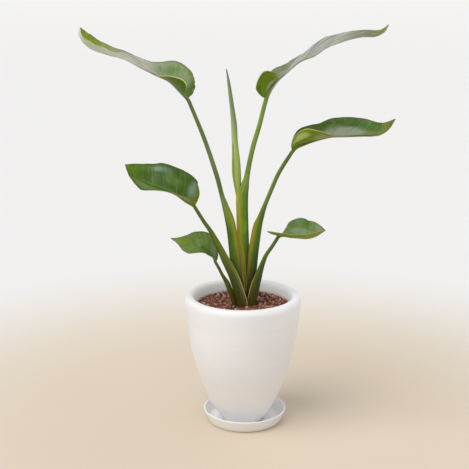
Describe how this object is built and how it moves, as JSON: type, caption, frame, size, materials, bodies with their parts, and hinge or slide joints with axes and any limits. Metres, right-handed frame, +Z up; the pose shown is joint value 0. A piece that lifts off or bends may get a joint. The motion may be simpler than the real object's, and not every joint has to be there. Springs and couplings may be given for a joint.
{
  "type": "potted bird of paradise plant",
  "caption": "Young bird of paradise plant with broad arching leaves on long sheathed stalks and a rolled spear leaf, in a white egg-shaped pot with clay pebbles on a saucer.",
  "frame": {"origin": "the middle of the saucer's underside, on the surface that the saucer stands on", "axes": "+Z up; the leaves fan out along X, with the tall left leaf towards -X; -Y is the side from which the fan is seen"},
  "size_m": [0.6508, 0.25, 0.8613],
  "materials": {
    "pot_glaze": "satin",
    "saucer_glaze": "satin",
    "potting_mix": "matte",
    "clay_pebbles": "matte",
    "leaf": "satin",
    "young_leaf": "satin"
  },
  "bodies": {
    "root": {"saucer": "saucer_glaze", "pot": "pot_glaze", "potting_mix": "potting_mix", "clay_pebbles": "clay_pebbles", "leaf_tall_left": "leaf", "leaf_tall_right": "leaf", "leaf_mid_right": "leaf", "leaf_mid_left": "leaf", "leaf_small_left": "leaf", "leaf_small_right": "leaf", "leaf_rolled": "young_leaf"}
  },
  "joints": []
}
